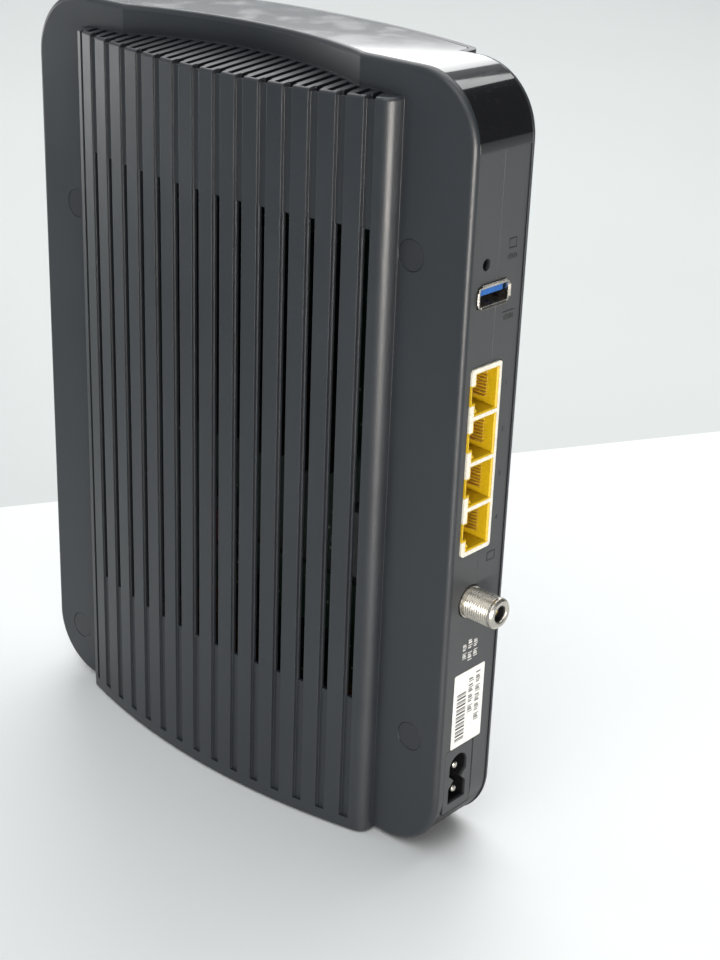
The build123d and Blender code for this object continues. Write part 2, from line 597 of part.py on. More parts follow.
with BuildPart() as usb_shell:
    half_w, half_h = USB_SHELL[0] / 2, USB_SHELL[1] / 2
    block((USB_X - half_w, USB_X + half_w), (71.0, REAR_Y + 0.2), (USB_Z - half_h, USB_Z + half_h))
    fillet(edges().filter_by(Axis.Y), radius=0.6)
    block(
        (USB_X - half_w + USB_WALL, USB_X + half_w - USB_WALL),
        (71.5, REAR_Y + 2),
        (USB_Z - half_h + USB_WALL, USB_Z + half_h - USB_WALL),
        Mode.SUBTRACT,
    )
    for sign in (1, -1):
        # Flared lips on the four sides of the mouth.
        with BuildSketch(Plane.YZ.offset(USB_X - half_w + 1.2)) as flare:
            with BuildLine():
                edge_z = USB_Z + sign * (half_h - USB_WALL)
                Polyline(
                    (REAR_Y - 1.2, edge_z), (REAR_Y + 0.1, edge_z), (REAR_Y + 0.55, edge_z + sign * USB_LIP[0]),
                    (REAR_Y + 0.15, edge_z + sign * (USB_LIP[0] + 0.3)), (REAR_Y - 0.4, edge_z + sign * USB_WALL),
                    (REAR_Y - 1.2, edge_z + sign * USB_WALL), close=True,
                )
            make_face()
        extrude(flare.sketch, amount=USB_SHELL[0] - 2.4)
        with BuildSketch(Plane.XY.offset(USB_Z - half_h + 1.1)) as side_flare:
            with BuildLine():
                edge_x = USB_X + sign * (half_w - USB_WALL)
                Polyline(
                    (edge_x, REAR_Y - 1.2), (edge_x, REAR_Y + 0.1), (edge_x + sign * USB_LIP[0], REAR_Y + 0.55),
                    (edge_x + sign * (USB_LIP[0] + 0.3), REAR_Y + 0.15), (edge_x + sign * USB_WALL, REAR_Y - 0.4),
                    (edge_x + sign * USB_WALL, REAR_Y - 1.2), close=True,
                )
            make_face()
        extrude(side_flare.sketch, amount=USB_SHELL[1] - 2.2)

with BuildPart() as usb_tongue:
    block((USB_X - 6.0, USB_X + 6.0), (71.6, 76.0), (USB_Z - 2.4, USB_Z + 2.4))
    block((USB_X - 5.6, USB_X + 5.6), (76.0, REAR_Y - 1.0), (USB_Z + 0.2, USB_Z + 2.0))
    fillet(edges().filter_by(Axis.Z).sort_by(Axis.Y)[-2:], radius=0.6)

with BuildPart() as usb_contacts:
    for i in range(4):
        contact_x = USB_X + 2.3 * (i - 1.5)
        block((contact_x - 0.6, contact_x + 0.6), (77, REAR_Y - 2.0), (USB_Z, USB_Z + 0.19))

# ---- Coaxial connector ----------------------------------------------------------------------------------
with BuildPart() as coax_body:
    block((BOARD_FACE_X, COAX_X + 5.5), (72, REAR_Y - 2.6), (COAX_Z - 6, COAX_Z + 6))
    fillet(edges().filter_by(Axis.Y), radius=1.0)
    rod((COAX_X, REAR_Y - 2.7, COAX_Z), (0, 1, 0), COAX_SHOULDER_RADIUS, COAX_SHOULDER + 2.7)
    rod((COAX_X, REAR_Y, COAX_Z), (0, 1, 0), COAX_RADIUS, COAX_REACH)
    chamfer(faces().sort_by(Axis.Y)[-1].edges(), length=COAX_CHAMFER)
    rod((COAX_X, REAR_Y - 1.0, COAX_Z), (0, 1, 0), COAX_BORE_RADIUS, 20, Mode.SUBTRACT)

with BuildPart() as coax_insulator:
    rod((COAX_X, REAR_Y - 1.0, COAX_Z), (0, 1, 0), COAX_BORE_RADIUS, COAX_REACH - 1.5)
    rod((COAX_X, REAR_Y, COAX_Z), (0, 1, 0), 1.0, 20, Mode.SUBTRACT)

with BuildPart() as coax_contact:
    rod((COAX_X, REAR_Y, COAX_Z), (0, 1, 0), 0.98, COAX_REACH - 1.8)
    rod((COAX_X, REAR_Y + 2, COAX_Z), (0, 1, 0), 0.5, 20, Mode.SUBTRACT)

# ---- Reset switch, pressed through the small hole ---------------------------------------------------------
RESET_BODY_Y = (75.0, 79.5)
PLUNGER_RADIUS = 1.3
PLUNGER_GAP = 0.08

with BuildPart() as reset_switch:
    block((RESET_X - 3, RESET_X + 3), RESET_BODY_Y, (RESET_Z - 3, RESET_Z + 3))
    rod((RESET_X, RESET_BODY_Y[1] - 2.2, RESET_Z), (0, 1, 0), PLUNGER_RADIUS + PLUNGER_GAP, 5, Mode.SUBTRACT)

with BuildPart() as reset_bracket:
    block((BOARD_FACE_X, RESET_X + 3), (RESET_BODY_Y[0], RESET_BODY_Y[1] - 0.5), (RESET_Z + 3, RESET_Z + 3.4))
    block((BOARD_FACE_X, RESET_X + 3), (RESET_BODY_Y[0], RESET_BODY_Y[1] - 0.5), (RESET_Z - 3.4, RESET_Z - 3))
    block((BOARD_FACE_X, RESET_X + 3), (RESET_BODY_Y[0] - 0.4, RESET_BODY_Y[0]), (RESET_Z - 3.4, RESET_Z + 3.4))

with BuildPart() as reset_plunger:
    rod((RESET_X, RESET_BODY_Y[1] - 1.6, RESET_Z), (0, 1, 0), PLUNGER_RADIUS, 7.0)
    fillet(faces().sort_by(Axis.Y)[-1].edges(), radius=0.4)

# ---- Front lamp board, light guide and pairing button -----------------------------------------------------
with BuildPart() as front_board:
    x_start, x_end, z_start, z_end = FRONT_BOARD
    block((x_start, x_end), (FRONT_BOARD_Y - 1.2, FRONT_BOARD_Y), (z_start, z_end))

with BuildPart() as status_lamps:
    for z in LAMP_ZS:
        block((-0.9, 0.9), (FRONT_BOARD_Y - 1.9, FRONT_BOARD_Y - 1.2), (z - 0.7, z + 0.7))

with BuildPart() as light_guide:
    block((-1.6, 1.6), (-84.6, -83.4), (LAMP_ZS[0] - 4, LAMP_ZS[-1] + 4))
    with BuildSketch(Plane.XZ.offset(REAR_Y - 0.05)) as guides:
        for z in LAMP_ZS:
            with Locations((0, z)):
                RectangleRounded(LAMP_WIDTH, LAMP_WIDTH, 0.6)
    extrude(guides.sketch, amount=-(REAR_Y + FRONT_BOARD_Y - 2.2))

BUTTON_STEM_END_Y = -83.4
with BuildPart() as pairing_button:
    with BuildSketch(Plane.XZ.offset(REAR_Y - 0.1)) as button_face:
        with Locations((0, PAIRING_Z)):
            RectangleRounded(*PAIRING_SIZE, 1.5)
    extrude(button_face.sketch, amount=-3.4)
    fillet(faces().sort_by(Axis.Y)[0].edges(), radius=0.4)
    block((-2.5, 2.5), (-85.6, -84.4), (PAIRING_Z - 2, PAIRING_Z + 2))
    # Wider than the opening, so the button can't fall out.
    block((-5.6, 5.6), (-84.5, -83.9), (PAIRING_Z - 4.6, PAIRING_Z + 4.6))
    rod((0, -84.0, PAIRING_Z), (0, 1, 0), 2.0, BUTTON_STEM_END_Y + 84.0)

with BuildPart() as pairing_switch:
    block((-3, 3), (FRONT_BOARD_Y - 4.7, FRONT_BOARD_Y - 1.2), (PAIRING_Z - 3, PAIRING_Z + 3))
    rod((0, -90, PAIRING_Z), (0, 1, 0), PLUNGER_RADIUS + PLUNGER_GAP, 90 + FRONT_BOARD_Y - 2.7, Mode.SUBTRACT)

with BuildPart() as pairing_plunger:
    rod((0, BUTTON_STEM_END_Y, PAIRING_Z), (0, 1, 0), PLUNGER_RADIUS, 2.2)

# ---- Mains inlet and power supply -----------------------------------------------------------------------
INLET_PIN_ZS = [INLET_Z - 0.6 + sign * INLET_PIN_SPACING / 2 for sign in (1, -1)]

with BuildPart() as mains_inlet:
    with BuildSketch(Plane.XZ.offset(-REAR_Y + INLET_SUNK)) as bezel:
        with Locations((INLET_X, INLET_Z)):
            RectangleRounded(*INLET_BEZEL, 0.5)
    extrude(bezel.sketch, amount=2.4 - INLET_SUNK)
    block((INLET_X - 5.8, INLET_X + 5.8), (73.0, REAR_Y - 2.0), (INLET_Z - 10.0, INLET_Z + 8.9))
    extrude(inlet_shape(8.3, 16.6), amount=14.0, mode=Mode.SUBTRACT)
    # Waist between the two pin wells, left as a pair of ribs.
    for sign in (1, -1):
        with BuildSketch(Plane.XZ.offset(-REAR_Y + INLET_SUNK)) as waist:
            with Locations((INLET_X + sign * 4.1, INLET_Z - 0.6)):
                Rectangle(3.2, 3.2, rotation=45)
        extrude(waist.sketch, amount=12.0)
    for z in INLET_PIN_ZS:
        rod((INLET_X, 70.0, z), (0, 1, 0), INLET_PIN_RADIUS + 0.02, 10, Mode.SUBTRACT)

with BuildPart() as mains_pins:
    for z in INLET_PIN_ZS:
        rod((INLET_X, 70.0, z), (0, 1, 0), INLET_PIN_RADIUS, 17.5)
    fillet(faces().group_by(Axis.Y)[-1].edges(), radius=0.6)

with BuildPart() as mains_fuse:
    rod((BOARD_FACE_X + 3, 58, 22), (0, 0, 1), 2.6, 20)

with BuildPart() as mains_choke:
    with Locations(Plane(origin=(2.6, 40, 26), z_dir=(1, 0, 0))):
        Torus(6.2, 3.4)
    block((BOARD_FACE_X, -0.9), (34, 46), (20, 32))

with BuildPart() as bulk_capacitor:
    rod((BOARD_FACE_X + 7.2, 0, 24), (0, 1, 0), 7.0, 27)
    fillet(faces().sort_by(Axis.Y)[0].edges(), radius=0.8)

with BuildPart() as supply_transformer:
    block((BOARD_FACE_X, 9.0), (-30, -6), (18, 46))
    block((BOARD_FACE_X + 2, 7.0), (-34, -30), (22, 42))
    block((BOARD_FACE_X + 2, 7.0), (-6, -2), (22, 42))

with BuildPart() as supply_heat_sink:
    block((BOARD_FACE_X, 9.0), (-4, 30), (48, 50))
    block((BOARD_FACE_X, 9.0), (-4, -2), (50, 60))

with BuildPart() as output_capacitors:
    for z in (26, 42):
        rod((BOARD_FACE_X, -44, z), (1, 0, 0), 5.0, 13)

# ---- Internal wiring ------------------------------------------------------------------------------------
with BuildPart() as power_connectors:
    for z in (64, 82):
        block((BOARD_FACE_X, 0.8), (-30, -16), (z - 2.5, z + 2.5))

with BuildPart() as power_wires:
    for i in range(4):
        rod((-1.6, -28.0 + 3.4 * i, 66.5), (0, 0, 1), 0.8, 13.0)

ANTENNA_PLACES = [(-30.0, 216.0), (30.0, 216.0), (0.0, 196.0)]
ANTENNA_LENGTH = 26.0


def antenna_plane(y, z, depth):
    """A plane square to the plain bulge's inner wall, its origin a given depth inside that wall."""
    wall_radius = PLAIN_ARC_RADIUS - COVER_WALL
    wall_centre_x = PLAIN_ARC_RADIUS - PLAIN_PEAK_X
    lean = asin(y / wall_radius)
    reach = wall_radius - depth
    origin = (wall_centre_x - reach * cos(lean), reach * sin(lean), z)
    return Plane(origin=origin, x_dir=(sin(lean), cos(lean), 0), z_dir=(cos(lean), -sin(lean), 0))


with BuildPart() as wifi_antennas:
    for y, z in ANTENNA_PLACES:
        with BuildSketch(antenna_plane(y, z, 1.3)) as antenna_outline:
            RectangleRounded(ANTENNA_LENGTH, 8.0, 0.8)
        extrude(antenna_outline.sketch, amount=0.8)

with BuildPart() as antenna_leads:
    for y, z in ANTENNA_PLACES:
        solder_pad = antenna_plane(y, z, 2.5).origin
        with BuildLine() as lead_path:
            FilletPolyline(
                (BOARD_X, y, z - 14),
                (BOARD_X - 6, y, z - 14),
                (solder_pad.X + 5, y, z),
                (solder_pad.X, solder_pad.Y, z),
                radius=2.0,
            )
        with BuildSketch(Plane(origin=lead_path.line @ 0, z_dir=lead_path.line % 0)) as lead_section:
            Circle(0.56)
        sweep(lead_section.sketch, path=lead_path.line)


# ---- Labels and files: one node for each piece --------------------------------------------------------
pieces.update(
    {
        "right_side_cover": right_side_cover,
        "left_side_cover": left_side_cover,
        "gloss_band": gloss_band,
        "right_frame": right_frame,
        "left_frame": left_frame,
        "screw_plugs": screw_plugs,
        "case_screws": case_screws,
        "rubber_feet": rubber_feet,
        "label_sticker": label_sticker,
        "main_board": main_board,
        "supply_board": supply_board,
        "board_standoffs": board_standoffs,
        "board_screws": board_screws,
        "processor": processor,
        "thermal_pad": thermal_pad,
        "processor_heat_sink": processor_heat_sink,
        "heat_sink_pins": heat_sink_pins,
        "memory_chips": memory_chips,
        "radio_shields": radio_shields,
        "tuner_shield": tuner_shield,
        "network_transformers": network_transformers,
        "lan_housing": lan_housing,
        "lan_contacts": lan_contacts,
        "usb_shell": usb_shell,
        "usb_tongue": usb_tongue,
        "usb_contacts": usb_contacts,
        "coax_body": coax_body,
        "coax_insulator": coax_insulator,
        "coax_contact": coax_contact,
        "reset_switch": reset_switch,
        "reset_bracket": reset_bracket,
        "reset_plunger": reset_plunger,
        "front_board": front_board,
        "status_lamps": status_lamps,
        "light_guide": light_guide,
        "pairing_button": pairing_button,
        "pairing_switch": pairing_switch,
        "pairing_plunger": pairing_plunger,
        "mains_inlet": mains_inlet,
        "mains_pins": mains_pins,
        "mains_fuse": mains_fuse,
        "mains_choke": mains_choke,
        "bulk_capacitor": bulk_capacitor,
        "supply_transformer": supply_transformer,
        "supply_heat_sink": supply_heat_sink,
        "output_capacitors": output_capacitors,
        "power_connectors": power_connectors,
        "power_wires": power_wires,
        "wifi_antennas": wifi_antennas,
        "antenna_leads": antenna_leads,
    }
)
os.makedirs("parts", exist_ok=True)
for name, piece in pieces.items():
    piece.part.label = name
    export_step(piece.part.moved(Location(TO_ORIGIN)), "parts/" + name + ".step")
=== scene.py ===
"""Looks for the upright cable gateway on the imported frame: finishes, thread, prints, wear, light, camera.

Metres, in the part's own frame: +Z up, +Y out of the port panel, +X the side whose ribs open at the top.
"""

import json
import math

import bmesh
import bpy
from mathutils import Matrix, Vector


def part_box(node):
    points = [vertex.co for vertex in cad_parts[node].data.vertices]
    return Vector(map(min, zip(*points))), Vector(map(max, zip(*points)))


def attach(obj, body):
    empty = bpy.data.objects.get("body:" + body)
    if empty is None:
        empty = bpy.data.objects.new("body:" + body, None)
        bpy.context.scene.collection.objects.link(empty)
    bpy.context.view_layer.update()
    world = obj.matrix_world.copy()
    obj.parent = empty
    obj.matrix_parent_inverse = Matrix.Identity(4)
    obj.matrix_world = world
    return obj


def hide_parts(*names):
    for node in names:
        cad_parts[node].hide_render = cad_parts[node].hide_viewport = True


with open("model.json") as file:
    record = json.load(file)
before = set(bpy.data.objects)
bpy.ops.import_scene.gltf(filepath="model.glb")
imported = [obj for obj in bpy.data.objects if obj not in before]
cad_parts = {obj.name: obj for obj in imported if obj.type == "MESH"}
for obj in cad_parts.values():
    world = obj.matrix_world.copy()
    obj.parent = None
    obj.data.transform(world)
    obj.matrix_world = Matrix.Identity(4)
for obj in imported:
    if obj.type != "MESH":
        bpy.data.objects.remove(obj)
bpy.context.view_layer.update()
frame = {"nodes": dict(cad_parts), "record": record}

MM = 0.001
ROOT = "gateway"

# ---- Places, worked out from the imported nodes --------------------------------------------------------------
PANEL_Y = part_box("right_frame")[1].y
COAX_LOW, COAX_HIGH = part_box("coax_body")
COAX_CENTRE = (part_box("coax_contact")[0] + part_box("coax_contact")[1]) / 2
LABEL_LOW, LABEL_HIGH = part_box("label_sticker")
USB_LOW, USB_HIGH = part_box("usb_shell")
LAN_LOW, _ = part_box("lan_housing")
INLET_LOW, INLET_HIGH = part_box("mains_inlet")
BODY_MIDDLE = Vector((0.0009, -0.0056, 0.120))


# ---- Node helpers ----------------------------------------------------------------------------------------
def new_material(name):
    """An empty node material with its Principled shader and object coordinates."""
    material = bpy.data.materials.new(name)
    material.use_nodes = True
    nodes = material.node_tree.nodes
    shader = nodes["Principled BSDF"]
    coords = nodes.new("ShaderNodeTexCoord")
    return material, shader, coords


def noise(material, coords, scale, detail=4.0, roughness=0.55, stretch=(1, 1, 1)):
    """Noise on object coordinates, stretched along an axis if wanted."""
    nodes, links = material.node_tree.nodes, material.node_tree.links
    mapping = nodes.new("ShaderNodeMapping")
    mapping.inputs["Scale"].default_value = stretch
    links.new(coords.outputs["Object"], mapping.inputs["Vector"])
    texture = nodes.new("ShaderNodeTexNoise")
    texture.inputs["Scale"].default_value = scale
    texture.inputs["Detail"].default_value = detail
    texture.inputs["Roughness"].default_value = roughness
    links.new(mapping.outputs["Vector"], texture.inputs["Vector"])
    return texture.outputs["Fac"]


def ramp(owner, value, low, high, from_value, to_value, shape="LINEAR"):
    """Maps a value range to another, clamped, in the nodes of a material or a world."""
    nodes, links = owner.node_tree.nodes, owner.node_tree.links
    remap = nodes.new("ShaderNodeMapRange")
    remap.interpolation_type = shape
    limits = (("From Min", low), ("From Max", high), ("To Min", from_value), ("To Max", to_value))
    for socket, number in limits:
        remap.inputs[socket].default_value = number
    links.new(value, remap.inputs["Value"])
    return remap.outputs["Result"]


def mix_colour(material, factor, first, second, blend="MIX"):
    """Two colours, or a colour and a socket, mixed by a factor."""
    nodes, links = material.node_tree.nodes, material.node_tree.links
    mix = nodes.new("ShaderNodeMix")
    mix.data_type = "RGBA"
    mix.blend_type = blend
    links.new(factor, mix.inputs["Factor"])
    for socket, colour in ((6, first), (7, second)):
        if isinstance(colour, tuple):
            mix.inputs[socket].default_value = (*colour, 1.0)
        else:
            links.new(colour, mix.inputs[socket])
    return mix.outputs[2]


def bump(material, heights, round_edges=0.0):
    """Bump from (height socket, strength, distance) layers, over edges rounded by a small radius."""
    nodes, links = material.node_tree.nodes, material.node_tree.links
    normal = None
    if round_edges:
        bevel = nodes.new("ShaderNodeBevel")
        bevel.samples = 4
        bevel.inputs["Radius"].default_value = round_edges
        normal = bevel.outputs["Normal"]
    for height, strength, distance in heights:
        layer = nodes.new("ShaderNodeBump")
        layer.inputs["Strength"].default_value = strength
        layer.inputs["Distance"].default_value = distance
        links.new(height, layer.inputs["Height"])
        if normal is not None:
            links.new(normal, layer.inputs["Normal"])
        normal = layer.outputs["Normal"]
    links.new(normal, nodes["Principled BSDF"].inputs["Normal"])


DUST = (0.12, 0.12, 0.12)
DEEP_SHADE = (0.004, 0.004, 0.005)
SOLDER_MASK = (0.004, 0.016, 0.009)
COVERED_TRACE = (0.008, 0.028, 0.015)
BARE_PAD = (0.2, 0.19, 0.15)
TARNISH = 0.2
FINE_GRAIN = 2300.0
PANEL_RECESS = 1.4 * MM


def moulded(name, colour, roughness, grain=1800.0, grain_depth=0.02 * MM, mottle=0.12, round_edges=0.3 * MM):
    """Moulded plastic: fine grain, faint mottling in colour, and smoother patches where hands rub it."""
    material, shader, coords = new_material(name)
    links = material.node_tree.links
    cloud = noise(material, coords, 28.0, detail=6.0)
    fine = noise(material, coords, grain, detail=2.0)
    lighter = tuple(min(1.0, channel * (1 + mottle) + 0.004 * mottle) for channel in colour)
    darker = tuple(channel * (1 - mottle) for channel in colour)
    broad = mix_colour(material, ramp(material, cloud, 0.3, 0.7, 0.0, 1.0), darker, lighter)
    bright = tuple(1.5 * channel for channel in colour)
    speck = mix_colour(material, ramp(material, fine, 0.42, 0.62, 0.0, 0.35), broad, bright)
    links.new(speck, shader.inputs["Base Color"])
    links.new(ramp(material, cloud, 0.3, 0.7, roughness - 0.05, roughness + 0.06), shader.inputs["Roughness"])
    bump(material, [(fine, 0.5, grain_depth)], round_edges)
    return material


def polished(name, colour, roughness):
    """Polished plastic with the slight waviness of a moulding, and fine dust and hairline scratches."""
    material, shader, coords = new_material(name)
    links = material.node_tree.links
    swell = noise(material, coords, 40.0, detail=1.0)
    dust = noise(material, coords, 900.0, detail=3.0)
    scratches = noise(material, coords, 240.0, detail=2.0, stretch=(0.4, 0.4, 6.0))
    dusty = mix_colour(material, ramp(material, dust, 0.6, 0.75, 0.0, 0.1), colour, DUST)
    links.new(dusty, shader.inputs["Base Color"])
    links.new(ramp(material, scratches, 0.5, 0.75, roughness, roughness + 0.08), shader.inputs["Roughness"])
    shader.inputs["Coat Weight"].default_value = 0.6
    shader.inputs["Coat Roughness"].default_value = 0.04
    bump(material, [(swell, 0.25, 0.06 * MM)], round_edges=0.3 * MM)
    return material


def metal(name, colour, roughness, stretch=(1, 1, 1)):
    """Plated or bare metal with drawn or rolled marks and uneven tarnish."""
    material, shader, coords = new_material(name)
    links = material.node_tree.links
    marks = noise(material, coords, 700.0, detail=3.0, stretch=stretch)
    stain = noise(material, coords, 120.0, detail=5.0)
    dull = tuple(channel * (1 - TARNISH) for channel in colour)
    tinted = mix_colour(material, ramp(material, stain, 0.4, 0.65, 0.0, 1.0), colour, dull)
    links.new(tinted, shader.inputs["Base Color"])
    shader.inputs["Metallic"].default_value = 1.0
    links.new(ramp(material, marks, 0.3, 0.7, roughness * 0.75, roughness * 1.35), shader.inputs["Roughness"])
    bump(material, [(marks, 0.3, 0.02 * MM)], round_edges=0.2 * MM)
    return material


def circuit(name):
    """Solder mask over copper traces and a dotting of small pads."""
    material, shader, coords = new_material(name)
    nodes, links = material.node_tree.nodes, material.node_tree.links
    bricks = nodes.new("ShaderNodeTexBrick")
    for socket, number in (
        ("Scale", 160.0), ("Mortar Size", 0.035), ("Brick Width", 0.9), ("Row Height", 0.22), ("Bias", -0.2),
    ):
        bricks.inputs[socket].default_value = number
    swap = nodes.new("ShaderNodeMapping")
    swap.inputs["Rotation"].default_value = (0.0, math.radians(90), 0.0)
    links.new(coords.outputs["Object"], swap.inputs["Vector"])
    links.new(swap.outputs["Vector"], bricks.inputs["Vector"])
    pads = nodes.new("ShaderNodeTexVoronoi")
    pads.inputs["Scale"].default_value = 260.0
    links.new(coords.outputs["Object"], pads.inputs["Vector"])
    masked = mix_colour(material, bricks.outputs["Fac"], SOLDER_MASK, COVERED_TRACE)
    dots = ramp(material, pads.outputs["Distance"], 0.1, 0.16, 1.0, 0.0)
    dotted = mix_colour(material, dots, masked, BARE_PAD)
    links.new(dotted, shader.inputs["Base Color"])
    shader.inputs["Roughness"].default_value = 0.35
    bump(material, [(bricks.outputs["Fac"], 0.2, 0.03 * MM)])
    return material


def sunk_dark(name, colour, roughness, face_y, depth):
    """Moulded plastic with painted shade: from a small depth behind its outer face on, its recesses are painted
    near black.
    """
    material = moulded(name, colour, roughness, grain=FINE_GRAIN, grain_depth=0.03 * MM)
    nodes, links = material.node_tree.nodes, material.node_tree.links
    shader = nodes["Principled BSDF"]
    coords = nodes.new("ShaderNodeTexCoord")
    axes = nodes.new("ShaderNodeSeparateXYZ")
    links.new(coords.outputs["Object"], axes.inputs["Vector"])
    # Painted shade: the colour darkens to near black with depth behind the outer face.
    painted_shade_mask = ramp(material, axes.outputs["Y"], face_y - depth, face_y - 0.4 * depth, 1.0, 0.0)
    outer = shader.inputs["Base Color"].links[0].from_socket
    links.new(mix_colour(material, painted_shade_mask, outer, DEEP_SHADE), shader.inputs["Base Color"])
    return material


def clear(name, colour, roughness):
    """A clear moulding with faint flow lines."""
    material, shader, coords = new_material(name)
    links = material.node_tree.links
    flow = noise(material, coords, 150.0, detail=2.0, stretch=(1, 1, 0.2))
    deeper = tuple(0.93 * channel for channel in colour)
    links.new(mix_colour(material, flow, colour, deeper), shader.inputs["Base Color"])
    links.new(ramp(material, flow, 0.3, 0.7, roughness, roughness + 0.06), shader.inputs["Roughness"])
    shader.inputs["Transmission Weight"].default_value = 0.85
    shader.inputs["IOR"].default_value = 1.49
    bump(material, [(flow, 0.15, 0.03 * MM)])
    return material


# ---- Finishes, one for each slot of the record -----------------------------------------------------------
def finishes():
    """Material for each slot name."""
    return {
        "charcoal_plastic": moulded(
            "charcoal_plastic", (0.013, 0.0155, 0.019), 0.4, grain=FINE_GRAIN, grain_depth=0.03 * MM
        ),
        # The panel gets painted shade in its recesses, near black from a small depth behind its face.
        "panel_plastic": sunk_dark("panel_plastic", (0.034, 0.0365, 0.039), 0.46, PANEL_Y, PANEL_RECESS),
        "plug_plastic": moulded(
            "plug_plastic", (0.011, 0.0125, 0.016), 0.36, grain=FINE_GRAIN, round_edges=0.4 * MM
        ),
        "gloss_black_plastic": polished("gloss_black_plastic", (0.003, 0.003, 0.004), 0.07),
        "rubber_grey": moulded("rubber_grey", (0.03, 0.03, 0.032), 0.8, grain=900.0, mottle=0.25),
        "label_film": moulded(
            "label_film", (0.6, 0.6, 0.58), 0.38, grain=1500.0, grain_depth=0.01 * MM, mottle=0.03
        ),
        "cream_plastic": moulded("cream_plastic", (0.56, 0.54, 0.47), 0.4, mottle=0.05),
        "yellow_plastic": moulded("yellow_plastic", (0.5, 0.33, 0.008), 0.34, mottle=0.08),
        "usb_blue": moulded("usb_blue", (0.004, 0.08, 0.3), 0.38, mottle=0.08),
        "white_plastic": moulded("white_plastic", (0.62, 0.62, 0.6), 0.4, mottle=0.05),
        "key_black": moulded("key_black", (0.005, 0.005, 0.006), 0.5, mottle=0.15),
        "chip_black": moulded("chip_black", (0.012, 0.012, 0.013), 0.55, grain=1200.0, mottle=0.2),
        "thermal_grey": moulded("thermal_grey", (0.2, 0.24, 0.3), 0.7, grain=900.0, mottle=0.15),
        "wire_red": moulded("wire_red", (0.07, 0.006, 0.005), 0.4, mottle=0.1),
        "cable_grey": moulded("cable_grey", (0.09, 0.09, 0.095), 0.45, mottle=0.15),
        "capacitor_sleeve": polished("capacitor_sleeve", (0.012, 0.02, 0.06), 0.2),
        "lamp": polished("lamp", (0.6, 0.6, 0.52), 0.18),
        "zinc_steel": metal("zinc_steel", (0.2, 0.2, 0.205), 0.5),
        "tin_plate": metal("tin_plate", (0.22, 0.23, 0.23), 0.4, stretch=(1, 1, 0.1)),
        "aluminium": metal("aluminium", (0.05, 0.05, 0.055), 0.45, stretch=(1, 1, 0.08)),
        "nickel": metal("nickel", (0.56, 0.53, 0.47), 0.27),
        "gold_contact": metal("gold_contact", (0.75, 0.5, 0.14), 0.45),
        "brass": metal("brass", (0.65, 0.5, 0.24), 0.28),
        "copper": metal("copper", (0.62, 0.24, 0.1), 0.3, stretch=(0.3, 3.0, 3.0)),
        "circuit_board": circuit("circuit_board"),
        "clear_acrylic": clear("clear_acrylic", (0.86, 0.9, 0.92), 0.12),
        "glass_tube": clear("glass_tube", (0.9, 0.93, 0.93), 0.03),
    }


FINISH = finishes()


def dress_nodes():
    """Puts each slot's finish on the CAD nodes that use it."""
    for entry in frame["record"]["subparts"]:
        node = frame["nodes"][entry["node"]]
        node.data.materials.clear()
        node.data.materials.append(FINISH[entry["material_slot"]])


# ---- Mesh helpers ----------------------------------------------------------------------------------------
def piece(name, mesh, slot_name, body=ROOT, smooth_angle=40.0):
    """A finished piece: object, material, smooth shading up to an angle, and the body it rides on."""
    obj = bpy.data.objects.new(name, mesh)
    bpy.context.scene.collection.objects.link(obj)
    mesh.materials.append(FINISH[slot_name])
    mesh.shade_smooth()
    mesh.set_sharp_from_angle(angle=math.radians(smooth_angle))
    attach(obj, body)
    return obj


def mesh_from(name, build):
    """A mesh filled in by a function that works on a bmesh."""
    made = bmesh.new()
    build(made)
    bmesh.ops.recalc_face_normals(made, faces=made.faces)
    mesh = bpy.data.meshes.new(name)
    made.to_mesh(mesh)
    made.free()
    return mesh


def add_ring(made, points):
    """Adds a closed ring of vertices."""
    return [made.verts.new(point) for point in points]


def bridge(made, first, second):
    """Joins two rings of the same length with quads."""
    count = len(first)
    for i in range(count):
        j = (i + 1) % count
        made.faces.new((first[i], first[j], second[j], second[i]))


def add_block(made, low, high, ease=0.0):
    """A block between two corners, with its edges eased."""
    size = Vector(high) - Vector(low)
    centre = (Vector(high) + Vector(low)) / 2
    place = Matrix.Translation(centre) @ Matrix.Diagonal((*size, 1.0))
    block = bmesh.ops.create_cube(made, size=1.0, matrix=place)
    if ease:
        edges = {edge for vert in block["verts"] for edge in vert.link_edges}
        bmesh.ops.bevel(
            made, geom=list(edges), offset=ease, segments=3, profile=0.5, affect="EDGES", clamp_overlap=True
        )


# ---- Coaxial connector with its thread ---------------------------------------------------------------------
BARREL_RADIUS = 4.76 * MM
BARREL_LENGTH = 13.9 * MM
BARREL_PROUD = 11.2 * MM
BARREL_START_Y = COAX_HIGH.y - BARREL_LENGTH
THREAD_PITCH = 0.794 * MM
THREAD_DEPTH = 0.42 * MM
FLANK_STEEPNESS = 1.35
SHOULDER_HEIGHT = 0.24 * MM
SHOULDER_END = 0.3 * MM
ROOT_END = 0.8 * MM
TIP_LENGTH = 1.6 * MM
TIP_EASE_LENGTH = 0.7 * MM
TIP_EASE = 0.75 * MM
BORE_RADIUS = 2.6 * MM
BORE_EASE = 0.25 * MM
BORE_DEPTH = 12.0 * MM
CONTACT_SEAT_RADIUS = 0.2 * MM
SOLDER_BASE_HALF = 6.0 * MM
SOLDER_BASE_THICKNESS = 13.2 * MM
SOLDER_BASE_EASE = 0.9 * MM
# Sizes of the black sleeve that paints the shade in the bore's mouth.
SHADE_SLEEVE_GAP = 0.02 * MM
SHADE_SLEEVE_WALL = 0.3 * MM
SHADE_SLEEVE_OUTER_SUNK = 0.45 * MM
SHADE_SLEEVE_INNER_SUNK = 0.6 * MM
TURN_STEPS = 72
STEPS_PER_PITCH = 6


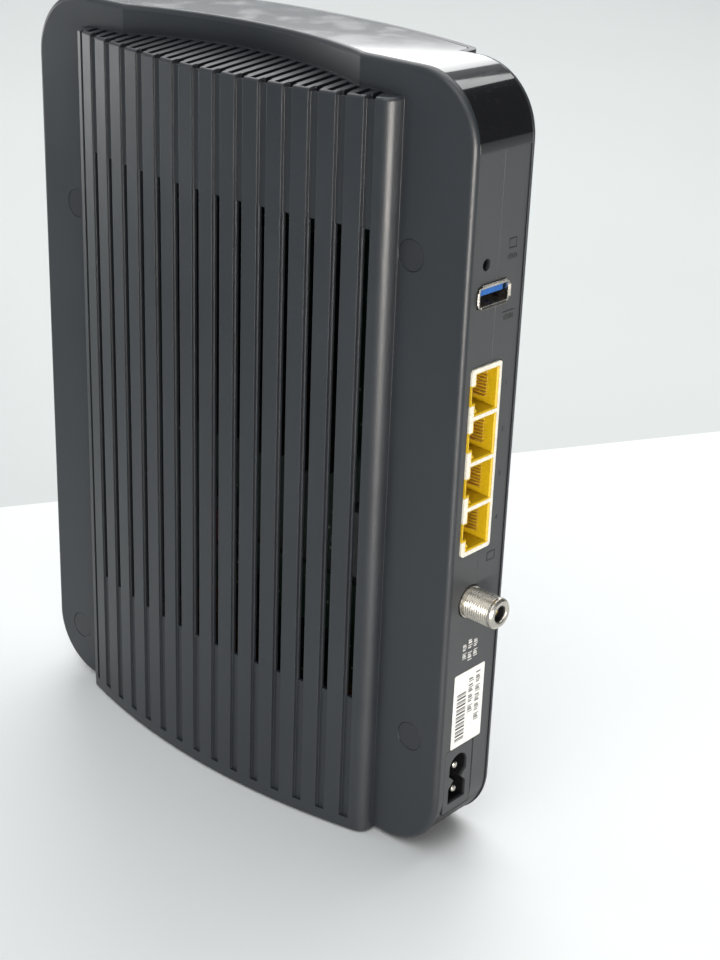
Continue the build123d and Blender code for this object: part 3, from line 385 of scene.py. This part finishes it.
def coax_radius(distance, angle):
    """Radius of the barrel at a distance from the panel: shoulder, root, helical thread and plain tip."""
    if distance > BARREL_PROUD - TIP_LENGTH:
        return BARREL_RADIUS - max(0.0, distance - (BARREL_PROUD - TIP_EASE_LENGTH))
    if distance < SHOULDER_END:
        return BARREL_RADIUS + SHOULDER_HEIGHT
    if distance < ROOT_END:
        return BARREL_RADIUS - THREAD_DEPTH
    phase = (distance / THREAD_PITCH - angle / math.tau) % 1.0
    ridge = 1.0 - abs(2.0 * phase - 1.0)
    return BARREL_RADIUS - THREAD_DEPTH * (1.0 - min(1.0, FLANK_STEEPNESS * ridge))


def add_turn(made, y, radius_at):
    """Adds a ring round the connector's axis, its radius given by the angle."""
    points = []
    for k in range(TURN_STEPS):
        angle = math.tau * k / TURN_STEPS
        radius = radius_at(angle)
        points.append((COAX_CENTRE.x + radius * math.cos(angle), y, COAX_CENTRE.z + radius * math.sin(angle)))
    return add_ring(made, points)


def build_coax(made):
    """Barrel, drawn as rings from the panel outwards, then the tip's face and the bore back in."""
    buried = BARREL_LENGTH - BARREL_PROUD
    step = THREAD_PITCH / STEPS_PER_PITCH
    rings = []
    for i in range(int(BARREL_LENGTH / step) + 1):
        painted_falloff = min(i * step, BARREL_LENGTH)
        rings.append(add_turn(made, BARREL_START_Y + painted_falloff, lambda angle: coax_radius(painted_falloff - buried, angle)))
    for radius, y in (
        (BARREL_RADIUS - TIP_EASE, COAX_HIGH.y),
        (BORE_RADIUS + BORE_EASE, COAX_HIGH.y),
        (BORE_RADIUS, COAX_HIGH.y - BORE_EASE),
        (BORE_RADIUS, COAX_HIGH.y - BORE_DEPTH),
        (CONTACT_SEAT_RADIUS, COAX_HIGH.y - BORE_DEPTH),
    ):
        rings.append(add_turn(made, y, lambda angle: radius))
    for first, second in zip(rings, rings[1:]):
        bridge(made, first, second)
    made.faces.new(rings[0])
    made.faces.new(rings[-1])
    # Square base that is soldered to the board.
    add_block(
        made,
        (COAX_LOW.x, COAX_LOW.y, COAX_CENTRE.z - SOLDER_BASE_HALF),
        (COAX_LOW.x + SOLDER_BASE_THICKNESS, BARREL_START_Y + SHOULDER_END, COAX_CENTRE.z + SOLDER_BASE_HALF),
        SOLDER_BASE_EASE,
    )


def build_lining(made):
    """A thin black sleeve in the mouth of the connector's bore, down to the insulator, that paints the shade
    inside the bore.
    """
    inner_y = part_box("coax_insulator")[1].y + SHADE_SLEEVE_GAP
    outer_radius = BORE_RADIUS - SHADE_SLEEVE_GAP
    inner_radius = BORE_RADIUS - SHADE_SLEEVE_WALL
    rings = [
        add_turn(made, y, lambda angle: radius)
        for radius, y in (
            (outer_radius, inner_y),
            (outer_radius, COAX_HIGH.y - SHADE_SLEEVE_OUTER_SUNK),
            (inner_radius, COAX_HIGH.y - SHADE_SLEEVE_INNER_SUNK),
            (inner_radius, inner_y),
        )
    ]
    for first, second in zip(rings, rings[1:] + rings[:1]):
        bridge(made, first, second)


def coax():
    """The threaded connector stands for its plain CAD node."""
    # A black sleeve paints the shade in the mouth of the bore.
    piece("coax_bore_painted_shade", mesh_from("coax_bore_painted_shade", build_lining), "key_black")
    mesh = mesh_from("coax_connector_threaded", build_coax)
    obj = piece("coax_connector_threaded", mesh, "nickel", smooth_angle=55.0)
    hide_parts("coax_body")


# ---- Black ring that paints the shade in the gap round the mains inlet -------------------------------------
CORNER_STEPS = 4


def rounded_loop(centre_x, centre_z, half_x, half_z, radius, y):
    """A rounded rectangle, as points on a plane square to Y."""
    points = []
    for corner, (sign_x, sign_z) in enumerate(((1, 1), (-1, 1), (-1, -1), (1, -1))):
        for step in range(CORNER_STEPS + 1):
            angle = math.radians(90 * corner + 90 / CORNER_STEPS * step)
            points.append((
                centre_x + sign_x * (half_x - radius) + radius * math.cos(angle),
                y,
                centre_z + sign_z * (half_z - radius) + radius * math.sin(angle),
            ))
    return points


GAP_SHADE_INNER_GAP = 0.03 * MM
GAP_SHADE_WALL = 0.33 * MM
GAP_SHADE_EASE = 0.08 * MM
GAP_SHADE_CORNER = 0.5 * MM
GAP_SHADE_BACK_Y = PANEL_Y - 1.3 * MM
GAP_SHADE_SHOULDER_Y = PANEL_Y - 0.2 * MM
GAP_SHADE_FRONT_Y = PANEL_Y - 0.12 * MM


def build_gasket(made):
    """A thin black ring in the gap between the inlet and the panel, that paints the shade in the gap."""
    centre = (INLET_LOW + INLET_HIGH) / 2
    half_x = (INLET_HIGH.x - INLET_LOW.x) / 2 + GAP_SHADE_INNER_GAP
    half_z = (INLET_HIGH.z - INLET_LOW.z) / 2 + GAP_SHADE_INNER_GAP
    rings = [
        add_ring(made, rounded_loop(centre.x, centre.z, half_x + grow, half_z + grow, GAP_SHADE_CORNER + grow, y))
        for grow, y in (
            (0.0, GAP_SHADE_BACK_Y),
            (0.0, GAP_SHADE_SHOULDER_Y),
            (GAP_SHADE_EASE, GAP_SHADE_FRONT_Y),
            (GAP_SHADE_WALL - GAP_SHADE_EASE, GAP_SHADE_FRONT_Y),
            (GAP_SHADE_WALL, GAP_SHADE_SHOULDER_Y),
            (GAP_SHADE_WALL, GAP_SHADE_BACK_Y),
        )
    ]
    for first, second in zip(rings, rings[1:] + rings[:1]):
        bridge(made, first, second)


def gasket():
    """The ring rides on the body and has no CAD node."""
    # A black ring paints the shade in the gap round the inlet.
    piece("inlet_gap_painted_shade", mesh_from("inlet_gap_painted_shade", build_gasket), "key_black")


# ---- Black strip that paints the shade behind the gap between the two boards -------------------------------
SLOT_SHADE_OVERLAP = 1.6 * MM
SLOT_SHADE_GAP = 0.4 * MM
SLOT_SHADE_LIP = 0.5 * MM
SLOT_SHADE_DEPTH = 1.3 * MM
SLOT_SHADE_SLOPE = 1.2 * MM
SLOT_SHADE_INSET = 3 * MM
SLOT_SHADE_END = 4 * MM


def build_barrier(made):
    """A shallow black channel that closes the gap between the boards, seen through the air slots, and paints
    the shade there.
    """
    main_low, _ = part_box("main_board")
    supply_low, supply_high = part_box("supply_board")
    lip_x = main_low.x - SLOT_SHADE_GAP
    back_x = lip_x - SLOT_SHADE_DEPTH
    low_z = supply_high.z - SLOT_SHADE_OVERLAP
    high_z = main_low.z + SLOT_SHADE_OVERLAP
    profile = [
        (lip_x, low_z),
        (lip_x, high_z),
        (lip_x - SLOT_SHADE_LIP, high_z),
        (back_x, high_z - SLOT_SHADE_SLOPE),
        (back_x, low_z + SLOT_SHADE_SLOPE),
        (lip_x - SLOT_SHADE_LIP, low_z),
    ]
    rings = [
        add_ring(made, [(x, y, z) for x, z in profile])
        for y in (
            supply_low.y + SLOT_SHADE_INSET,
            supply_low.y + SLOT_SHADE_END,
            supply_high.y - SLOT_SHADE_END,
            supply_high.y - SLOT_SHADE_INSET,
        )
    ]
    for first, second in zip(rings, rings[1:]):
        bridge(made, first, second)
    made.faces.new(rings[0])
    made.faces.new(rings[-1])


def barrier():
    """The strip rides on the body and has no CAD node."""
    # A near-black strip paints the shade seen through the air slots between the boards.
    piece("board_gap_painted_shade", mesh_from("board_gap_painted_shade", build_barrier), "chip_black")


# ---- Prints on the panel and the label --------------------------------------------------------------------
PRINT_HEIGHT = 0.04 * MM
DIGIT_SIZE = 2.3 * MM
DIGIT_ASIDE = 3.0 * MM
SIGN_HEIGHT = 2.6 * MM
SIGN_LINE = 0.35 * MM
LABEL_STROKE = 2.3 * MM
PANEL_STROKE = 1.9 * MM


def printed(name, marks, surface_y, slot_name):
    """Thin printed patches on a surface square to Y, given as (x0, x1, z0, z1)."""
    def build(made):
        for x0, x1, z0, z1 in marks:
            add_block(made, (x0, surface_y - PRINT_HEIGHT, z0), (x1, surface_y + PRINT_HEIGHT, z1))
    piece(name, mesh_from(name, build), slot_name)


def strokes(x0, x1, z0, z1, count):
    """A row of thin strokes of uneven width, in place of a line of wording that runs up the panel."""
    marks = []
    pitch = (z1 - z0) / count
    for k in range(count):
        width = pitch * (0.35 + 0.15 * ((k * 5) % 3))
        inset = (x1 - x0) * 0.14 * ((k * 7) % 3)
        if k % 5 != 4:
            marks.append((x0 + inset, x1, z0 + k * pitch, z0 + k * pitch + width))
    return marks


def label_marks():
    """A generic label: a column of bars of uneven width beside two rows of strokes."""
    marks = []
    bar_x0, bar_x1 = LABEL_LOW.x + 8.4 * MM, LABEL_LOW.x + 12.6 * MM
    z = LABEL_LOW.z + 2.2 * MM
    i = 0
    while z < LABEL_HIGH.z - 6.5 * MM:
        height = (0.22 + 0.18 * ((i * 7) % 3)) * MM
        marks.append((bar_x0, bar_x1, z, z + height))
        z += height + (0.26 + 0.2 * ((i * 5) % 3)) * MM
        i += 1
    for start, bottom, top, count in ((1.7, 6.5, 1.8, 26), (5.0, 10.5, 3.0, 17)):
        x = LABEL_LOW.x + start * MM
        marks += strokes(x, x + LABEL_STROKE, LABEL_LOW.z + bottom * MM, LABEL_HIGH.z - top * MM, count)
    return marks


def panel_marks():
    """Strokes in place of the wording between the coaxial connector and the label."""
    marks = []
    base_z = LABEL_HIGH.z + 3.4 * MM
    for column, (start, end) in enumerate(((0.6, 6.6), (0.0, 7.4), (1.2, 6.4))):
        x = LABEL_LOW.x + (4.1 + 2.6 * column) * MM
        marks += strokes(x, x + PANEL_STROKE, base_z + start * MM, base_z + end * MM, 9)
    return marks


def sign_marks():
    """Small generic signs beside the reset hole, the USB socket and the network sockets."""
    marks = []
    sign_x = USB_LOW.x - 0.4 * MM
    for z, wide in ((USB_HIGH.z + 8.0 * MM, 3.4 * MM), (LAN_LOW.z - 5.6 * MM, 3.8 * MM)):
        x0, x1 = sign_x - wide / 2, sign_x + wide / 2
        top = z + SIGN_HEIGHT
        marks += [(x0, x1, z, z + SIGN_LINE), (x0, x1, top, top + SIGN_LINE)]
        marks += [(x0, x0 + SIGN_LINE, z + SIGN_LINE, top), (x1 - SIGN_LINE, x1, z + SIGN_LINE, top)]
    for z in (USB_HIGH.z + 5.0 * MM, USB_LOW.z - 5.2 * MM):
        for k in range(5):
            x = sign_x + (0.9 * k - 2.2) * MM
            marks.append((x, x + 0.55 * MM, z, z + (1.3 + 0.3 * (k % 2)) * MM))
    half_rule = 2.6 * MM
    marks.append((sign_x - half_rule, sign_x + half_rule, USB_LOW.z - 2.9 * MM, USB_LOW.z - 2.6 * MM))
    return marks


def digits():
    """The numbers one to four beside the network sockets."""
    for number in range(1, 5):
        name = "socket_number_%d" % number
        low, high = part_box("lan_insert_%d" % number)
        text = bpy.data.curves.new(name, "FONT")
        text.body = str(number)
        text.size = DIGIT_SIZE
        text.extrude = PRINT_HEIGHT
        text.align_x = "CENTER"
        text.align_y = "CENTER"
        obj = bpy.data.objects.new(name, text)
        bpy.context.scene.collection.objects.link(obj)
        obj.location = (LAN_LOW.x - DIGIT_ASIDE, PANEL_Y, (low.z + high.z) / 2)
        obj.rotation_euler = (math.radians(90), 0.0, math.radians(180))
        text.materials.append(FINISH["key_black"])
        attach(obj, ROOT)


def prints():
    """All the printed marks."""
    printed("label_printing", label_marks(), LABEL_HIGH.y, "chip_black")
    printed("panel_printing", panel_marks(), PANEL_Y, "white_plastic")
    printed("panel_signs", sign_marks(), PANEL_Y, "key_black")
    digits()


# ---- Floor -------------------------------------------------------------------------------------------------
EDGE_POINT = Vector((-0.102, -0.185, 0.0))
EDGE_ANGLE = math.radians(151.0)
STAGE_REACH = 3.0
# The far tones are painted shade: each surface is painted darker towards one end, for light that falls off.
TABLE_NEAR = (0.69, 0.705, 0.705)
TABLE_FAR_SHADED = (0.42, 0.44, 0.445)
BEYOND_NEAR = (0.53, 0.55, 0.54)
BEYOND_FAR_SHADED = (0.3, 0.325, 0.33)


def pale_paint(name, near, far, reach, roughness, cloud_scale):
    """A pale matt surface with painted shade: it shifts slowly from its near tone to its darker far tone along
    its length.
    """
    paint, shader, coords = new_material(name)
    nodes, links = paint.node_tree.nodes, paint.node_tree.links
    axes = nodes.new("ShaderNodeSeparateXYZ")
    links.new(coords.outputs["Object"], axes.inputs["Vector"])
    # Painted shade: the tone falls from the near tone to the far tone along local X.
    painted_falloff = ramp(paint, axes.outputs["X"], -reach, 0.0, 1.0, 0.0)
    shaded_tone = mix_colour(paint, painted_falloff, near, far)
    cloud = ramp(paint, noise(paint, coords, cloud_scale), 0.3, 0.7, 0.0, 0.5)
    clouded = mix_colour(paint, cloud, shaded_tone, (0.95, 0.95, 0.95), "MULTIPLY")
    links.new(clouded, shader.inputs["Base Color"])
    shader.inputs["Roughness"].default_value = roughness
    return paint


def stage_plane(name, side, matrix, material):
    """Half of the studio's floor, on one side of the table's edge."""
    def build(made):
        far_y = side * STAGE_REACH
        corners = [(-STAGE_REACH, 0), (STAGE_REACH, 0), (STAGE_REACH, far_y), (-STAGE_REACH, far_y)]
        face = made.faces.new([made.verts.new((x, y, 0)) for x, y in corners])
        if side < 0:
            face.normal_flip()
    mesh = mesh_from(name, build)
    mesh.materials.append(material)
    obj = bpy.data.objects.new(name, mesh)
    obj.matrix_world = matrix
    bpy.context.scene.collection.objects.link(obj)
    return obj


def studio():
    """A pale table, and beyond its far edge a second pale surface at the same height, both painted darker
    towards one end.
    """
    table_paint = pale_paint("pale_table", TABLE_NEAR, TABLE_FAR_SHADED, reach=0.35, roughness=0.5, cloud_scale=6.0)
    beyond_paint = pale_paint("pale_beyond", BEYOND_NEAR, BEYOND_FAR_SHADED, reach=0.4, roughness=0.7, cloud_scale=3.0)
    turn = Matrix.Translation(EDGE_POINT) @ Matrix.Rotation(EDGE_ANGLE, 4, "Z")
    floor = stage_plane("floor", -1, turn, table_paint)
    beyond = stage_plane("floor_beyond", 1, turn, beyond_paint)


# ---- Light -------------------------------------------------------------------------------------------------
AIR_COLOUR = (0.93, 0.97, 1.0, 1.0)
AIR_BRIGHT = 0.55
AIR_DARK = 0.1
AIR_SEEN = 0.86
DARK_SIDE = (-0.72, 0.6, 0.35)
DARK_STARTS = 0.55
DARK_FULL = 0.92
WHITE = (1.0, 1.0, 1.0)
WARM = (1.0, 0.94, 0.87)
TABLE_SPOT = (0.4, 0.3, 0.0)
# Name, place, target, size, power and colour of each area light.
LAMPS = (
    ("ceiling_light", (-0.5, -0.3, 1.6), BODY_MIDDLE, (1.8, 1.4), 23.0, WHITE),
    ("window_light", (0.6, 0.97, 0.06), BODY_MIDDLE, (0.6, 0.12), 15.0, WARM),
    ("side_light", (0.25, -1.2, 0.14), BODY_MIDDLE, (0.4, 0.3), 3.0, WHITE),
    ("far_light", (-1.7, -1.45, 1.15), BODY_MIDDLE, (1.8, 1.0), 16.0, WHITE),
    ("table_light", (1.1, 0.4, 1.5), TABLE_SPOT, (1.4, 1.4), 14.0, WHITE),
)


def lamp(name, place, target, size, power, colour):
    """A soft area light aimed at a point."""
    data = bpy.data.lights.new(name, "AREA")
    data.shape = "RECTANGLE"
    data.size, data.size_y = size
    data.energy = power
    data.color = colour
    obj = bpy.data.objects.new(name, data)
    bpy.context.scene.collection.objects.link(obj)
    obj.location = place
    obj.visible_camera = False
    obj.rotation_euler = (Vector(target) - Vector(place)).to_track_quat("-Z", "Y").to_euler()


def lights():
    """Pale air that lights less from beyond the port panel, and the five area lights."""
    world = bpy.data.worlds.new("studio_air")
    bpy.context.scene.world = world
    world.use_nodes = True
    nodes, links = world.node_tree.nodes, world.node_tree.links
    air = nodes["Background"]
    coords = nodes.new("ShaderNodeTexCoord")
    facing = nodes.new("ShaderNodeVectorMath")
    facing.operation = "DOT_PRODUCT"
    facing.inputs[1].default_value = DARK_SIDE
    links.new(coords.outputs["Generated"], facing.inputs[0])
    shade = ramp(world, facing.outputs["Value"], DARK_STARTS, DARK_FULL, AIR_BRIGHT, AIR_DARK, "SMOOTHSTEP")
    # The camera sees even pale air whichever way it looks.
    seen = nodes.new("ShaderNodeLightPath")
    strength = nodes.new("ShaderNodeMix")
    strength.data_type = "FLOAT"
    links.new(seen.outputs["Is Camera Ray"], strength.inputs["Factor"])
    links.new(shade, strength.inputs["A"])
    strength.inputs["B"].default_value = AIR_SEEN
    links.new(strength.outputs["Result"], air.inputs["Strength"])
    air.inputs["Color"].default_value = AIR_COLOUR
    for settings in LAMPS:
        lamp(*settings)


# ---- Camera ------------------------------------------------------------------------------------------------
VIEW_AZIMUTH = math.radians(131.18)
VIEW_ELEVATION = math.radians(24.02)
VIEW_ROLL = math.radians(2.2)
VIEW_DISTANCE = 0.5645
VIEW_SIDE_STEP = 0.0316
VIEW_RISE = -0.0204
LENS = 66.9


def camera():
    """The camera's place: a turn and a tilt round the body's middle, then a small step aside and down."""
    back = Vector((
        math.sin(VIEW_AZIMUTH) * math.cos(VIEW_ELEVATION),
        -math.cos(VIEW_AZIMUTH) * math.cos(VIEW_ELEVATION),
        math.sin(VIEW_ELEVATION),
    ))
    level_right = (-back).cross(Vector((0, 0, 1))).normalized()
    level_up = level_right.cross(-back)
    place = BODY_MIDDLE + VIEW_DISTANCE * back + VIEW_SIDE_STEP * level_right + VIEW_RISE * level_up
    right = math.cos(VIEW_ROLL) * level_right + math.sin(VIEW_ROLL) * level_up
    up = math.cos(VIEW_ROLL) * level_up - math.sin(VIEW_ROLL) * level_right
    data = bpy.data.cameras.new("camera")
    data.lens = LENS
    data.sensor_width = 36.0
    data.clip_start = 0.01
    obj = bpy.data.objects.new("camera", data)
    bpy.context.scene.collection.objects.link(obj)
    turn = Matrix((right, up, back)).transposed().to_4x4()
    obj.matrix_world = Matrix.Translation(place) @ turn
    bpy.context.scene.camera = obj


dress_nodes()
coax()
gasket()
barrier()
prints()
studio()
lights()
camera()

bpy.context.scene.view_settings.view_transform = "Standard"
